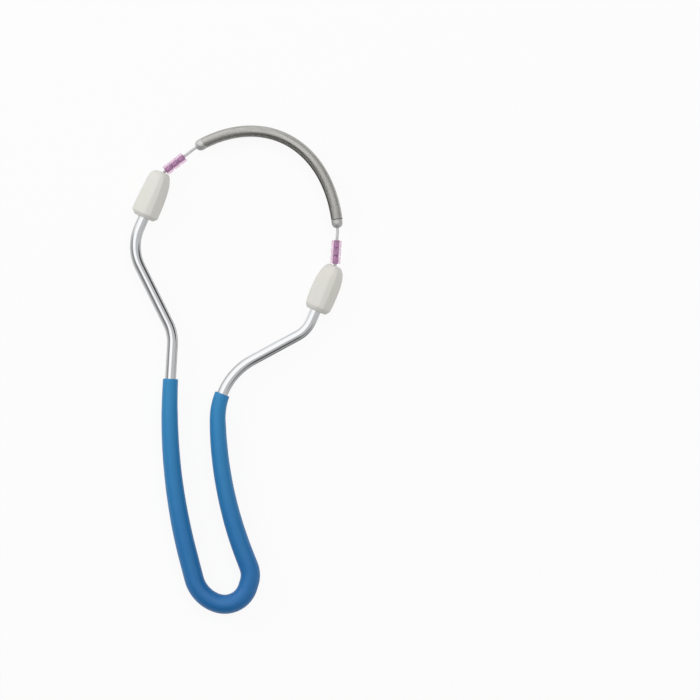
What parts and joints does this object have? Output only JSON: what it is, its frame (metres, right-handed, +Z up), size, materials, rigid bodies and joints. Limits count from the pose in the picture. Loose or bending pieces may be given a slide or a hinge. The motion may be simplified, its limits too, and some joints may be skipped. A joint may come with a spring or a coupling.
{
  "type": "facial epilator",
  "caption": "Hand tool for facial hair: a bent rod with a soft U grip holds a bow of coil spring on a cable threaded with beads between two bullet caps.",
  "frame": {"origin": "centre of the tool's outline, on the table it lies on", "axes": "+Y from the grip's bend up to the spring, +X to the right as the tool lies, +Z up from the table"},
  "size_m": [0.085, 0.1956, 0.0104],
  "materials": {
    "rod_steel": "polished, fine drawn lines",
    "grip_vinyl": "smooth dipped vinyl, satin",
    "cap_plastic": "ivory white, soft satin",
    "spring_steel": "close-wound bright wire",
    "cable_coat": "clear coat over fine steel strands",
    "stop_brass": "crimped",
    "bush_steel": "turned, fine satin",
    "bead_plastic": "clear pink, glossy"
  },
  "bodies": {
    "handle": {"frame_rod": "rod_steel", "grip_sleeve": "grip_vinyl", "end_cap_left": "cap_plastic", "end_cap_right": "cap_plastic"},
    "bow": {"spring": "spring_steel", "core_wire": "cable_coat", "wire_stop_left": "stop_brass", "wire_stop_right": "stop_brass", "spring_bush_left": "bush_steel", "spring_bush_right": "bush_steel"},
    "bead_left_1": {"bead_left_1": "bead_plastic"},
    "bead_left_2": {"bead_left_2": "bead_plastic"},
    "bead_left_3": {"bead_left_3": "bead_plastic"},
    "bead_right_1": {"bead_right_1": "bead_plastic"},
    "bead_right_2": {"bead_right_2": "bead_plastic"},
    "bead_right_3": {"bead_right_3": "bead_plastic"}
  },
  "joints": [
    {"name": "bow_swing", "type": "hinge", "parent": "handle", "child": "bow", "pos_m": [0.00477, 0.05926, 0.0052], "axis": [0.8792, -0.4764, 0], "range_deg": [-15, 15], "stiffness_Nm_per_rad": 0.12},
    {"name": "bead_left_1_spin", "type": "hinge", "parent": "bow", "child": "bead_left_1", "pos_m": [-0.02706, 0.08046, 0.0052], "axis": [0.7934, 0.6088, 0], "continuous": true},
    {"name": "bead_left_2_spin", "type": "hinge", "parent": "bow", "child": "bead_left_2", "pos_m": [-0.02456, 0.08238, 0.0052], "axis": [0.7934, 0.6088, 0], "continuous": true},
    {"name": "bead_left_3_spin", "type": "hinge", "parent": "bow", "child": "bead_left_3", "pos_m": [-0.02206, 0.0843, 0.0052], "axis": [0.7934, 0.6088, 0], "continuous": true},
    {"name": "bead_right_1_spin", "type": "hinge", "parent": "bow", "child": "bead_right_1", "pos_m": [0.0397, 0.04396, 0.0052], "axis": [0.0645, 0.9979, 0], "continuous": true},
    {"name": "bead_right_2_spin", "type": "hinge", "parent": "bow", "child": "bead_right_2", "pos_m": [0.03991, 0.0471, 0.0052], "axis": [0.0645, 0.9979, 0], "continuous": true},
    {"name": "bead_right_3_spin", "type": "hinge", "parent": "bow", "child": "bead_right_3", "pos_m": [0.04011, 0.05025, 0.0052], "axis": [0.0645, 0.9979, 0], "continuous": true}
  ]
}
